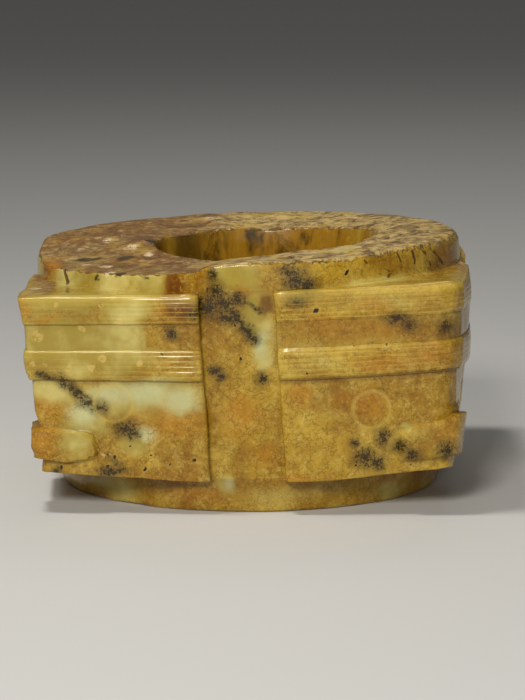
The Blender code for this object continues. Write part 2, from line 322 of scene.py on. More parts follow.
LEDGE_EDGE = 0.0004
FOOT_EDGE = 0.0003
ledge_edge = step_rows(LEDGE, LEDGE_EDGE, 0.0, LEDGE_EDGE)[1:]
nose_edge = np.array([-0.00005, 0.00005, 0.0002, 0.0004, 0.0007])
block_rows = np.concatenate([
    ledge_edge,
    plain_rows(upper_line_levels, 0.0),
    step_rows(UPPER_BAND_FOOT, 0.0, STRIP_RECESS, 0.00035),
    plain_rows(np.linspace(0.0414, 0.0384, 3), STRIP_RECESS),
    step_rows(STRIP_FOOT, STRIP_RECESS, 0.0, 0.0004),
    plain_rows(lower_line_levels, 0.0),
    step_rows(LOWER_BAND_FOOT, 0.0, EYE_ZONE_RECESS, 0.0005),
    plain_rows(np.linspace(0.0293, 0.0287, 2), EYE_ZONE_RECESS),
    plain_rows(np.linspace(0.0281, 0.0195, 21), EYE_ZONE_RECESS),
    plain_rows(NOSE_TOP - nose_edge, EYE_ZONE_RECESS),
    plain_rows(np.linspace(0.0180, 0.0114, 7), EYE_ZONE_RECESS),
    plain_rows(NOSE_FOOT + nose_edge[::-1], EYE_ZONE_RECESS),
    plain_rows(np.linspace(0.0092, 0.0078, 3), EYE_ZONE_RECESS),
    step_rows(BLOCK_FOOT, EYE_ZONE_RECESS, EYE_ZONE_RECESS + FOOT_EDGE, FOOT_EDGE)[:-1],
])
line_floors = np.concatenate([UPPER_LINES, LOWER_LINES])[:, None] + line_steps[1:3]
is_line_row = np.isin(block_rows[:, 0], line_floors)

inside_groove = np.clip((FACE_START - all_half_columns) / (FACE_START - WALL_START), 0.0, 1.0)


def block_grid():
    """The carved block: an outline for each level. On the drum the rows stay clear of the ends."""
    level, recess = block_rows[:, 0], block_rows[:, 1]
    u, v = half_outline(level, recess)
    z = level[:, None] + corner_rise(u, v, level[:, None])
    on_drum = np.interp(level, (BLOCK_FOOT, LEDGE), (BLOCK_FOOT + WALL_RUN, LEDGE - WALL_RUN))
    z = z + (on_drum - level)[:, None] * inside_groove
    x, y = around(u, v, level, np.full(len(level), False))
    return x, y, leaned(x, y, z)


def shelf_grid(shares, level, recess, z_on_drum):
    """A flat shelf between the drum and the block's outline, as shares of the way outward.

    In the grooves there is no shelf, so there the rows run up or down the drum instead.
    """
    shares = np.asarray(shares)
    count = len(shares)
    rows = np.full(count, level)
    out_u, out_v = half_outline(rows, np.full(count, recess))
    rise = corner_rise(out_u, out_v, level)
    out_x, out_y = around(out_u, out_v, rows, np.full(count, False))
    drum_radius = np.interp(level, DRUM_LEVELS, DRUM_RADII)
    in_x, in_y = ring(np.full(count, drum_radius), rows)
    on_shelf = (half_column >= WALL_START)[None, :]
    share = np.tile(np.where(on_shelf, shares[:, None], 1.0), 4)
    z = level + rise * shares[:, None]
    z = z + (np.asarray(z_on_drum)[:, None] - level) * inside_groove
    x, y = in_x + (out_x - in_x) * share, in_y + (out_y - in_y) * share
    return x, y, leaned(x, y, z)


def bore_point(turn, radius):
    """A point of the bore's wall, whose middle stands off the axis."""
    return BORE_MIDDLE_X + radius * np.cos(turn), radius * np.sin(turn)


rim_x, rim_y = ring(np.array([RIM_RADIUS]), [LEDGE])
column_turn = np.arctan2(rim_y, rim_x)
mouth_x, _ = bore_point(column_turn, BORE_TOP_RADIUS)
mouth_z = top_height(mouth_x, column_turn, 0.0)

# Up the bore: it was drilled from both ends, so it narrows to a ridge below the middle
bore_shares = np.linspace(0.0, 1.0, 18)[1:, None]
bore_radii = np.interp(
    bore_shares, (0.0, BORE_RIDGE_SHARE, 1.0),
    (BORE_FOOT_RADIUS, BORE_RIDGE_RADIUS, BORE_TOP_RADIUS),
)
bore_x, bore_y = bore_point(column_turn, bore_radii)
bore_grid = bore_x, bore_y, bore_shares * (mouth_z - MOUTH_ROUNDING)

# Out over the mouth's soft edge and the top
mouth_turns = np.radians([30.0, 60.0, 90.0])[:, None]
edge_radii = BORE_TOP_RADIUS + MOUTH_ROUNDING * (1.0 - np.cos(mouth_turns))
edge_x, edge_y = bore_point(column_turn, edge_radii)
edge_grid = edge_x, edge_y, mouth_z - MOUTH_ROUNDING * (1.0 - np.sin(mouth_turns))

LAND_ROWS = 15
land_shares = np.linspace(0.0, 1.0, LAND_ROWS + 1)[1:, None]
inner_x, inner_y = edge_grid[0][-1:], edge_grid[1][-1:]
rim_rounding = wear_round(column_turn, RIM_ROUNDING_TURNS, RIM_ROUNDING)
outer_share = 1.0 - rim_rounding / RIM_RADIUS
outer_x, outer_y = rim_x * outer_share, rim_y * outer_share
land_x = inner_x + (outer_x - inner_x) * land_shares
land_y = inner_y + (outer_y - inner_y) * land_shares
land_grid = land_x, land_y, top_height(land_x, column_turn, land_shares)

# Over the rim and down the collar to the ledge
rim_turns = np.radians([72.0, 54.0, 36.0, 18.0, 0.0])[:, None]
rim_scale = 1.0 - rim_rounding / RIM_RADIUS * (1.0 - np.cos(rim_turns))
rim_z = top_height(outer_x, column_turn, 1.0)
rim_grid = rim_x * rim_scale, rim_y * rim_scale, rim_z - rim_rounding * (1.0 - np.sin(rim_turns))
collar_shares = np.array([0.2, 0.4, 0.6, 0.75, 0.86, 0.94, 1.0])
collar_x, collar_y = ring(
    RIM_RADIUS + (LEDGE_RADIUS - RIM_RADIUS) * collar_shares, np.full(len(collar_shares), LEDGE)
)
collar_top = rim_z - rim_rounding
collar_foot = leaned(collar_x, collar_y, LEDGE)
collar_grid = collar_x, collar_y, collar_top + (collar_foot - collar_top) * collar_shares[:, None]

ledge_shares = np.array([0.04, 0.10, 0.20, 0.35, 0.50, 0.65, 0.80, 0.90, 0.96])
ledge_grid = shelf_grid(ledge_shares, LEDGE, LEDGE_EDGE, LEDGE - WALL_RUN * ledge_shares)
under_shares = np.array([0.95, 0.6, 0.3, 0.1])
under_grid = shelf_grid(
    under_shares, BLOCK_FOOT, EYE_ZONE_RECESS + FOOT_EDGE, BLOCK_FOOT + WALL_RUN * under_shares
)

# Down the lower collar, over the foot's rounding and back under the stone
lower_levels = np.linspace(BLOCK_FOOT - 0.0003, FOOT_ROUNDING, 6)
lower_x, lower_y = ring(np.interp(lower_levels, DRUM_LEVELS, DRUM_RADII), np.full(6, BLOCK_FOOT))
lower_grid = lower_x, lower_y, leaned(lower_x, lower_y, lower_levels[:, None])
foot_turns = np.radians([30.0, 60.0, 90.0])
foot_rows = ring(FOOT_RADIUS - FOOT_ROUNDING * (1.0 - np.cos(foot_turns)), np.full(3, BLOCK_FOOT))
foot_grid = (*foot_rows, np.tile(FOOT_ROUNDING * (1.0 - np.sin(foot_turns))[:, None], COLUMNS))
sole_shares = np.linspace(0.0, 1.0, 7)[1:, None]
sole_from = foot_grid[0][-1:], foot_grid[1][-1:]
sole_to = bore_point(column_turn, BORE_FOOT_RADIUS)
sole_x = sole_from[0] + (sole_to[0] - sole_from[0]) * sole_shares
sole_y = sole_from[1] + (sole_to[1] - sole_from[1]) * sole_shares
sole_grid = sole_x, sole_y, np.zeros_like(sole_x)

grids = {
    "bore": bore_grid, "edge": edge_grid, "land": land_grid, "rim": rim_grid,
    "collar": collar_grid, "ledge": ledge_grid, "block": block_grid(), "under": under_grid,
    "lower": lower_grid, "foot": foot_grid, "sole": sole_grid,
}
spans, place = {}, 0
for part, grid in grids.items():
    spans[part] = slice(place, place + len(grid[0]))
    place += len(grid[0])
ROWS = place
points = np.stack(
    [np.concatenate([grid[axis] for grid in grids.values()]) for axis in range(3)], 2
)

# The top edge of the block is ground round, most at the sides and the front right corner, and the
# foot of the collar runs into the ledge with a hollow. Each is a quarter of an ellipse.
# Radii in mm at the middle of a side and at its corner, for the eight half sides in column order
SHOULDER_AT_MIDDLE = (0.9, 0.6, 2.4, 1.4, 1.2, 1.2, 2.2, 2.0)
SHOULDER_AT_CORNER = (0.6, 2.2, 2.4, 1.2, 1.2, 1.2, 1.2, 0.8)
HOLLOW_AT_MIDDLE = (0.2, 0.3, 0.4, 0.3, 0.3, 0.3, 0.4, 0.4)
HOLLOW_AT_CORNER = (0.3, 1.6, 1.6, 0.5, 0.5, 0.5, 0.5, 0.6)
LEAST_SHELF = 0.0002
SHOULDER_SHARE, HOLLOW_SHARE = 0.7, 0.25


def by_half_side(at_middle, at_corner):
    """A value in metres for each column, blended from the middle of a side to its corner."""
    way = smooth(float(FACE_START), float(CORNER_START), all_half_columns)
    start, end = np.repeat(at_middle, HALF_COLUMNS), np.repeat(at_corner, HALF_COLUMNS)
    return MILLIMETRE * (start + (end - start) * way)


edge_x, edge_y = (points[spans["block"]][0, :, axis] for axis in (0, 1))
drum_x, drum_y = (points[spans["collar"]][-1, :, axis] for axis in (0, 1))
shelf_width = np.hypot(edge_x - drum_x, edge_y - drum_y)
has_shelf = (all_half_columns > WALL_START) & (shelf_width > LEAST_SHELF)
out_x = np.where(has_shelf, (edge_x - drum_x) / np.maximum(shelf_width, 1e-6), 0.0)
out_y = np.where(has_shelf, (edge_y - drum_y) / np.maximum(shelf_width, 1e-6), 0.0)
shoulder_high = by_half_side(SHOULDER_AT_MIDDLE, SHOULDER_AT_CORNER) * has_shelf
shoulder_wide = np.minimum(shoulder_high, SHOULDER_SHARE * shelf_width) * has_shelf
hollow = by_half_side(HOLLOW_AT_MIDDLE, HOLLOW_AT_CORNER)
hollow = np.minimum(hollow, HOLLOW_SHARE * shelf_width) * has_shelf


def rounded(gap, reach):
    """How an eighth of a turn carries a point whose gap to an edge is less than its reach.

    The first value is how far it moves toward the edge: its gap, less reach times one minus the
    sine. The second is the share of the other reach that it sinks by: one minus the cosine.
    """
    turn = math.pi / 4.0 * np.clip(1.0 - gap / np.maximum(reach, 1e-6), 0.0, 1.0)
    toward = np.where(gap < reach, gap - reach * (1.0 - np.sin(turn)), 0.0)
    return toward, 1.0 - np.cos(turn)


def shift(part, outward_by, up_by):
    """Move a part's points out from the axis and up."""
    points[spans[part]] += np.stack([outward_by * out_x, outward_by * out_y, up_by], 2)


# On the ledge a gap is measured across the shelf, and on the block and the collar in height
to_edge, sunk = rounded((1.0 - ledge_shares[:, None]) * shelf_width, shoulder_wide)
to_drum, filled = rounded(ledge_shares[:, None] * shelf_width, hollow)
shift("ledge", to_edge - to_drum, hollow * filled - shoulder_high * sunk)

dropped, sunk = rounded(np.maximum(LEDGE - block_rows[:, :1], 0.0), shoulder_high)
shift("block", -shoulder_wide * sunk, dropped)

collar_z = points[spans["collar"]][..., 2]
to_foot, filled = rounded(collar_z - collar_z[-1:], hollow)
shift("collar", hollow * filled, -to_foot)

# The cutting is uneven: how far the front corners, the right side and the nose bars stand from
# their true places, in mm, at a few levels of the block or distances from its middle
LEFT_CORNER = (
    (7.3, 9, 13.5, 15, 20, 22.5, 24, 30, 31.6, 33, 34.6, 38, 42.5, 44.8, 49.4),
    (0.2, 0.2, 0.8, 0.2, 0.5, -0.2, -0.5, -0.5, -0.3, -0.6, -0.7, -0.9, -1.0, -0.8, -0.7),
)
RIGHT_CORNER = ((7.3, 11.5, 15, 19, 22, 23, 30, 49.4), (0.8, 0.8, 0.5, 0.8, 1.2, 0.4, 0.0, 0.0))
RIGHT_SIDE = ((7.3, 15, 24, 30, 34, 43, 46, 49.4), (1.0, 1.0, 1.6, 1.9, 1.8, 1.6, 1.2, 0.4))
RIGHT_ROUNDING = ((7.3, 10, 19, 20.5, 30, 49.4), (2.6, 1.8, 1.4, 2.4, 3.2, 3.6))
NOSE_TOP_LEFT = ((30, 36, 46), (-1.0, -1.0, -0.3))
NOSE_LONGER_LEFT = 0.0022
NOSE_TOP_RIGHT = ((30, 37, 47), (-0.8, -0.8, 1.0))
NOSE_FOOT_LEFT = ((30, 36, 40, 46), (1.0, 0.8, 0.0, 0.5))
NOSE_FOOT_RIGHT = ((30, 37, 47), (-0.4, -0.4, -0.8))

# Where each of these acts, in metres: from none to all of it, or none, all and none again
FRONT_REACH_Y = (0.026, 0.044)
NOSE_REACH_X = (0.026, 0.034)
NOSE_TOP_LEVELS = (0.0130, 0.0205, 0.0290)
NOSE_FOOT_LEVELS = (0.0085, 0.0112, 0.0165)
NOSE_END_LEVELS = (0.0070, 0.0145, 0.0225)
NOSE_END_X = (0.022, 0.0345, 0.0455)
CORNER_REACH_X = (0.030, 0.045)
RIGHT_SIDE_Y = (-0.047, -0.028, 0.036)
RIGHT_SIDE_X = (0.040, 0.0465)


def read(table, value):
    """Metres read from a table of mm against mm."""
    return MILLIMETRE * np.interp(value / MILLIMETRE, *table)


def hat(low, peak, high, value):
    """Rises smoothly from 0 at low to 1 at peak and falls to 0 again at high."""
    return smooth(low, peak, value) * (1.0 - smooth(peak, high, value))


part = points[spans["block"]]
x, y, z = (part[..., axis] for axis in range(3))
level = z / lean(x, y)
near_front = smooth(*FRONT_REACH_Y, -y)
near_left, near_right = near_front * (x < 0), near_front * (x > 0)
top_shift = read(NOSE_TOP_LEFT, np.abs(x)) * near_left + read(NOSE_TOP_RIGHT, x) * near_right
foot_shift = read(NOSE_FOOT_LEFT, np.abs(x)) * near_left + read(NOSE_FOOT_RIGHT, x) * near_right
near_nose = smooth(*NOSE_REACH_X, np.abs(x)) * (all_half_columns >= FACE_START)
z = z + top_shift * near_nose * hat(*NOSE_TOP_LEVELS, level)
z = z + foot_shift * near_nose * hat(*NOSE_FOOT_LEVELS, level)
longer = NOSE_LONGER_LEFT * near_left * hat(*NOSE_END_LEVELS, level)
x = x + longer * hat(*NOSE_END_X, -x)

# The front right corner is ground to a larger round
corner = np.max(np.where((side_of_column == 0) & (sign_of_column > 0), x, 0.0), 1, keepdims=True)
rounding = read(RIGHT_ROUNDING, level)
past_x, past_y = x - (corner - rounding), -y - (corner - rounding)
past = np.hypot(past_x, past_y)
is_past = (past_x > 0.0) & (past_y > 0.0) & (past > rounding)
pull = np.where(is_past, rounding / np.maximum(past, 1e-6), 1.0)
x, y = x + past_x * (pull - 1.0), y - past_y * (pull - 1.0)

x = x + read(LEFT_CORNER, level) * near_front * smooth(*CORNER_REACH_X, -x)
x = x + read(RIGHT_CORNER, level) * near_front * smooth(*CORNER_REACH_X, x)
x = x + read(RIGHT_SIDE, level) * hat(*RIGHT_SIDE_Y, y) * smooth(*RIGHT_SIDE_X, x)

# The ledge and the underside follow the edge that they meet, ever less toward the drum
moved = np.stack([x, y, z], 2) - part
points[spans["block"]] += moved
points[spans["ledge"]] += moved[0] * (ledge_shares ** 3)[:, None, None]
points[spans["under"]] += moved[-1] * (under_shares ** 3)[:, None, None]


# The upper collar and the ledge bulge a little on the left
BULGE, BULGE_LEVELS, BULGE_X = 0.0009, (0.042, 0.049), (0.036, 0.0475)
upper = smooth(*BULGE_LEVELS, points[..., 2])
points[..., 0] -= BULGE * smooth(*BULGE_X, -points[..., 0]) * upper


def outward(points):
    """Normals of the closed grid: the cross product of its two directions at each point."""
    along = np.roll(points, -1, 1) - np.roll(points, 1, 1)
    down = np.roll(points, -1, 0) - np.roll(points, 1, 0)
    normal = np.cross(down, along)
    return normal / np.maximum(np.linalg.norm(normal, axis=2, keepdims=True), 1e-12)


# The carving and the wear.
# The lines and eye rings were incised in the polished stone and are now rubbed soft. Each is a
# depth along the surface's own normal.

LINE_DEPTH = 0.00008
# An eye's distance from the side's middle, its level and its radius
EYE = (0.0275, 0.0231, 0.0040)
FRONT_LEFT_EYE = (0.0281, 0.0252, 0.0042)
EYE_LINE_WIDTH = 0.00045
EYE_LINE_DEPTH = 0.00020
EYE_RELIEF = 0.00012
BAND_SOFTNESS = 0.0009
BAND_WEAR = 0.00030

# Share of a line's depth at the groove, what it loses outward, and from where to where
LINE_FADE = (0.7, 0.3, 0.010, 0.045)
FRONT_LEFT_LINE_FADE = (1.05, 0.85, 0.010, 0.034)
LINE_START = 0.0016


def bell(value, middle, width):
    """A bell curve, 1 at its middle: e to minus the square of the distance in widths."""
    return np.exp(-(((value - middle) / width) ** 2))


def fading(share, lost, start, end):
    """A share that falls by what is lost between two distances from the middle of a side."""
    return share - lost * smooth(start, end, across)


depth = np.zeros((ROWS, COLUMNS))
block_x, block_y, block_z = (points[spans["block"]][..., axis] for axis in range(3))
across = np.where(side_of_column % 2 == 0, np.abs(block_x), np.abs(block_y))
level_z = block_z / lean(block_x, block_y)

on_face = all_half_columns >= ARRIS_START
front_left = (side_of_column == 0) & (sign_of_column < 0)
line_share = np.where(front_left, fading(*FRONT_LEFT_LINE_FADE), fading(*LINE_FADE))
line_share = line_share * smooth(GROOVE_HALF, GROOVE_HALF + LINE_START, across)
depth[spans["block"]] += LINE_DEPTH * line_share * is_line_row[:, None] * on_face

# Each band is worn a little toward its edges, less on the front left
band_edges = np.array((UPPER_BAND_FOOT, STRIP_FOOT, LOWER_BAND_FOOT))
row_level = block_rows[:, :1]
in_band = ((row_level > UPPER_BAND_FOOT) | (row_level < STRIP_FOOT)) & (
    row_level > LOWER_BAND_FOOT
)
to_edge = np.min(np.abs(row_level - band_edges), 1, keepdims=True)
edge_wear = bell(to_edge, 0.0, BAND_SOFTNESS) * in_band
softer = np.where(front_left, 0.5, 1.0)
depth[spans["block"]] += BAND_WEAR * edge_wear * softer * on_face

# An eye is a low round boss inside one incised ring
eye_across, eye_level, eye_radius = (
    np.where(front_left, here, elsewhere) for here, elsewhere in zip(FRONT_LEFT_EYE, EYE)
)
from_ring = np.hypot(across - eye_across, level_z - eye_level) - eye_radius
eye_depth = EYE_LINE_DEPTH * bell(from_ring, 0.0, EYE_LINE_WIDTH)
eye_depth = eye_depth - EYE_RELIEF * smooth(0.0, -2.5 * EYE_LINE_WIDTH, from_ring)
depth[spans["block"]] += eye_depth * (all_half_columns > FACE_START)

points = points - depth[..., None] * outward(points)


def ripple(points, wavelength, seed, waves=12):
    """Smooth noise of about unit size: a sum of sine waves in seeded directions and phases."""
    draw = np.random.default_rng(seed)
    direction = draw.normal(size=(waves, 3))
    direction /= np.linalg.norm(direction, axis=1, keepdims=True)
    phase = draw.uniform(0.0, 2.0 * math.pi, waves)
    stretch = draw.uniform(0.7, 1.4, waves)[:, None]
    turns = points @ (direction * stretch * 2.0 * math.pi / wavelength).T
    return np.sin(turns + phase).sum(-1) * math.sqrt(2.0 / waves)


# Each set of bumps has a height and a wavelength in metres and a seed
BUMPS, SMALL_BUMPS = (0.00007, 0.014, 3), (0.00003, 0.005, 4)
STREAKS, STREAK_SQUEEZE = (0.00010, 0.0032, 5), (0.35, 1.0, 1.0)
LAND_BUMPS, LAND_CALM = (0.00016, 0.010, 6), 0.75


def raised_by(points, kind):
    """The height that one set of bumps gives each point."""
    height, wavelength, seed = kind
    return height * ripple(points, wavelength, seed)


bumps = raised_by(points, BUMPS) + raised_by(points, SMALL_BUMPS)
land_bumps = raised_by(points, LAND_BUMPS) + raised_by(points * STREAK_SQUEEZE, STREAKS)
bumps[spans["land"]] += land_bumps[spans["land"]] * (1.0 - LAND_CALM * land_shares ** 2)
bumps[spans["sole"]] = -np.abs(bumps[spans["sole"]])
points = points + bumps[..., None] * outward(points)
points = np.clip(points, np.array(cad_box[0]), np.array(cad_box[1]))

# Where the skin is weathered, where the wall is the bore's, and where shade is painted, with some
# dirt, into the carving's recesses and under the block
masks = ("weathered", "bored", "painted_shade_and_dirt", "banded", "painted_highlight", "ringed")
weathered, bored, painted_shade_and_dirt, banded, painted_highlight, ringed = np.zeros((len(masks), ROWS, COLUMNS))
weathered[spans["land"]] = 1.0
weathered[spans["edge"]] = 0.5
weathered[spans["rim"]] = np.linspace(0.75, 0.15, 5)[:, None]
ledge_points = points[spans["ledge"]]
on_left = smooth(0.0400, 0.0450, -ledge_points[..., 0])
weathered[spans["ledge"]] = 0.2 + 0.75 * on_left + 0.4 * smooth(-0.03, 0.0, ledge_points[..., 1])
bored[spans["bore"]] = 1.0
bored[spans["edge"]] = np.array([0.9, 0.6, 0.2])[:, None]

# Painted shade, partly dirt: darker below the band edges, under the nose bars, in the strip between
# the bands (not on the front left) and at the root of the groove walls; also at the foot of the
# collar, down the lower collar below the block, and under the block
below_bands = (
    bell(row_level, LOWER_BAND_FOOT - 0.0003, 0.0006) * np.where(front_left, 0.5, 1.0)
    + 0.35 * bell(row_level, UPPER_BAND_FOOT - 0.0002, 0.0004)
    + 0.25 * bell(row_level, STRIP_FOOT + 0.0003, 0.0003)
)
near_nose_foot = bell(row_level, NOSE_FOOT - 0.0004, 0.0006) * smooth(0.034, 0.037, across)
in_strip = (row_level < UPPER_BAND_FOOT) & (row_level > STRIP_FOOT)
in_strip = in_strip * np.where(front_left, 0.0, 0.42)
painted_shade_and_dirt[spans["block"]] = (np.maximum(below_bands, in_strip) + 0.6 * near_nose_foot) * on_face
at_root = bell(all_half_columns, WALL_START, 1.2)
painted_shade_and_dirt[spans["block"]] = np.maximum(
    painted_shade_and_dirt[spans["block"]], 0.22 * at_root * (1.0 - smooth(0.018, 0.034, row_level))
)
painted_shade_and_dirt[spans["collar"]][-1] = 0.4
painted_shade_and_dirt[spans["lower"]] = np.linspace(0.70, 0.0, 6)[:, None]
painted_shade_and_dirt[spans["under"]] = 0.6

# Painted highlights: the cut lines, the ring of the eye, the outer edge of the ledge and the top
# edges of the bands get a lighter colour where light would glint on them, and the eye is a little
# browner inside
banded[spans["block"]] = in_band * on_face
painted_highlight[spans["block"]] = is_line_row[:, None] * on_face * np.minimum(line_share, 1.0)
painted_highlight[spans["ledge"]] = 0.9 * smooth(0.3, 1.0, ledge_shares)[:, None]
painted_highlight[spans["ledge"]] *= all_half_columns >= FACE_START
# A painted highlight along the rounded top edges of the upper band and of the lower band
painted_edge_highlight = np.maximum(
    smooth(LEDGE - 0.0030, LEDGE - 0.0006, row_level),
    0.8 * hat(STRIP_FOOT - 0.0008, STRIP_FOOT - 0.0003, STRIP_FOOT + 0.0002, row_level),
)
painted_highlight[spans["block"]] = np.maximum(painted_highlight[spans["block"]], painted_edge_highlight * on_face)
ringed[spans["block"]] = smooth(1.4 * EYE_LINE_WIDTH, -0.2 * EYE_LINE_WIDTH, from_ring)
on_ring = bell(from_ring, 0.0, 0.8 * EYE_LINE_WIDTH)
painted_highlight[spans["block"]] = np.maximum(painted_highlight[spans["block"]], on_ring * (all_half_columns > FACE_START))


def grid_mesh(name, points):
    """A closed mesh from the grid: a face between each four neighbours, both ways round."""
    rows, columns = points.shape[:2]
    index = np.arange(rows * columns).reshape(rows, columns)
    below, beside = np.roll(index, -1, 0), np.roll(index, -1, 1)
    corners = np.stack([index, below, np.roll(below, -1, 1), beside], 2).reshape(-1, 4)
    mesh = bpy.data.meshes.new(name)
    mesh.from_pydata(points.reshape(-1, 3), [], corners)
    mesh.validate()
    mesh.shade_smooth()
    mesh.set_sharp_from_angle(angle=math.radians(55.0))
    return mesh


cong_mesh = grid_mesh("carved_cong", points)
for name, values in zip(masks, (weathered, bored, painted_shade_and_dirt, banded, painted_highlight, ringed)):
    layer = cong_mesh.attributes.new(name, "FLOAT", "POINT")
    layer.data.foreach_set("value", values.ravel())
cong = bpy.data.objects.new("carved_cong", cong_mesh)
bpy.context.scene.collection.objects.link(cong)


# The jade: honey brown stone under a soft polish, with pale green zones that are a little clearer,
# russet stains, black mineral growths, hair cracks and a weathered, fibrous skin on the top.

def srgb(red, green, blue):
    """A linear colour from the red, green and blue of a screen, each 0 to 255."""
    share = np.array([red, green, blue]) / 255.0
    linear = np.where(share <= 0.04045, share / 12.92, ((share + 0.055) / 1.055) ** 2.4)
    return (*(float(value) for value in linear), 1.0)


def node(kind, inputs, **settings):
    """Add a shader node to the tree in hand and fill its inputs with values or with sockets."""
    made = tree.nodes.new("ShaderNode" + kind)
    for name, value in settings.items():
        setattr(made, name, value)
    for key, value in inputs.items():
        if isinstance(value, bpy.types.NodeSocket):
            tree.links.new(value, made.inputs[key])
        else:
            made.inputs[key].default_value = value
    return made


def maths(operation, first, second=0.0):
    """The result of a Math node."""
    return node("Math", {0: first, 1: second}, operation=operation).outputs[0]


def product(*values):
    """Several values multiplied together."""
    result = values[0]
    for value in values[1:]:
        result = maths("MULTIPLY", result, value)
    return result


def most(*values):
    """The greatest of several values."""
    result = values[0]
    for value in values[1:]:
        result = maths("MAXIMUM", result, value)
    return result


def rest_of(value):
    """One less a value."""
    return maths("SUBTRACT", 1.0, value)


def step(value, low, high):
    """A smooth step of a value from 0 at low to 1 at high."""
    inputs = {"Value": value, "From Min": low, "From Max": high}
    return node("MapRange", inputs, interpolation_type="SMOOTHSTEP").outputs["Result"]


def noise(place, wavelength, detail=2.0, roughness=0.5, distortion=0.0):
    """Cloudy noise from 0 to 1 whose largest lumps are a wavelength apart."""
    inputs = {
        "Vector": place, "Scale": 1.0 / wavelength, "Detail": detail, "Roughness": roughness,
        "Distortion": distortion,
    }
    return node("TexNoise", inputs).outputs["Fac"]


def swing(value, reach):
    """A noise from 0 to 1 turned into a shift either way, at most half of reach."""
    return maths("MULTIPLY", maths("SUBTRACT", value, 0.5), reach)


def mix(share, first, second):
    """Two colours mixed by a share."""
    return node("Mix", {0: share, 6: first, 7: second}, data_type="RGBA").outputs[2]


def laid(ground, colour, *shares):
    """A colour laid over the ground by the product of some shares."""
    return mix(product(*shares), ground, colour)


def vector_maths(operation, first, second, output="Vector"):
    """The result of a Vector Math node."""
    return node("VectorMath", {0: first, 1: second}, operation=operation).outputs[output]


def wobbled(place, wavelength, reach, detail=3.0):
    """A place pushed about by coloured noise, at most half of reach each way."""
    inputs = {"Vector": place, "Scale": 1.0 / wavelength, "Detail": detail}
    colours = node("TexNoise", inputs).outputs["Color"]
    centred = vector_maths("SUBTRACT", colours, (0.5, 0.5, 0.5))
    push = node("VectorMath", {0: centred, "Scale": reach}, operation="SCALE").outputs[0]
    return vector_maths("ADD", place, push)


def new_group(name, sockets):
    """An empty node group with the given inputs, as (name, kind), and one value out."""
    group = bpy.data.node_groups.new(name, "ShaderNodeTree")
    for label, kind in sockets:
        group.interface.new_socket(label, in_out="INPUT", socket_type="NodeSocket" + kind)
    group.interface.new_socket("Nearness", in_out="OUTPUT", socket_type="NodeSocketFloat")
    ends = group.nodes.new("NodeGroupInput"), group.nodes.new("NodeGroupOutput")
    return group, ends[0].outputs, ends[1].inputs


# A mark is an oval: nearness is 1 at its middle and falls evenly to 0 at its edge, and on below 0
mark, mark_in, mark_out = new_group(
    "mark", (("Place", "Vector"), ("Middle", "Vector"), ("Reach", "Vector"))
)
tree = mark
offset = vector_maths("SUBTRACT", mark_in["Place"], mark_in["Middle"])
share = vector_maths("DIVIDE", offset, mark_in["Reach"])
length = node("VectorMath", {0: share}, operation="LENGTH").outputs["Value"]
tree.links.new(maths("SUBTRACT", 1.0, length), mark_out["Nearness"])

# A vein is a line from one point to another: nearness falls evenly to 0 at its half width
vein, vein_in, vein_out = new_group(
    "vein", (("Place", "Vector"), ("Start", "Vector"), ("End", "Vector"), ("Reach", "Float"))
)
tree = vein
along = vector_maths("SUBTRACT", vein_in["End"], vein_in["Start"])
offset = vector_maths("SUBTRACT", vein_in["Place"], vein_in["Start"])
run = vector_maths("DOT_PRODUCT", offset, along, "Value")
share = maths("DIVIDE", run, vector_maths("DOT_PRODUCT", along, along, "Value"))
share = node("Clamp", {0: share}).outputs[0]
foot = node("VectorMath", {0: along, "Scale": share}, operation="SCALE").outputs[0]
gap = vector_maths("DISTANCE", offset, foot, "Value")
share = maths("DIVIDE", gap, vein_in["Reach"])
tree.links.new(maths("SUBTRACT", 1.0, share), vein_out["Nearness"])

FRONT_Y = -47.0
FRONT_REACH = 9.0


def millimetres(*values):
    """Millimetres as a tuple of metres."""
    return tuple(MILLIMETRE * value for value in values)


def nearest(group, place, rows):
    """The greatest nearness to any of a group's rows, which fill its sockets after the place."""
    best = -1.0
    for row in rows:
        near = node("Group", {}, node_tree=group)
        tree.links.new(place, near.inputs["Place"])
        for socket, value in zip(near.inputs[1:], row):
            socket.default_value = value
        best = maths("MAXIMUM", best, near.outputs[0])
    return best


def nearest_mark(place, marks):
    """The greatest nearness to any mark, each with its middle and its reach along x, y and z in mm.

    A mark on the front is shorter: x and z, then its half width and half height, or its radius.
    """
    rows = []
    for values in marks:
        if len(values) < 6:
            values = values[0], FRONT_Y, values[1], values[2], FRONT_REACH, values[-1]
        rows.append((millimetres(*values[:3]), millimetres(*values[3:])))
    return nearest(mark, place, rows)


def nearest_vein(place, veins):
    """The greatest nearness to any vein, each ((x, y, z), (x, y, z), half width) in mm."""
    rows = [(millimetres(*a), millimetres(*b), MILLIMETRE * wide) for a, b, wide in veins]
    return nearest(vein, place, rows)


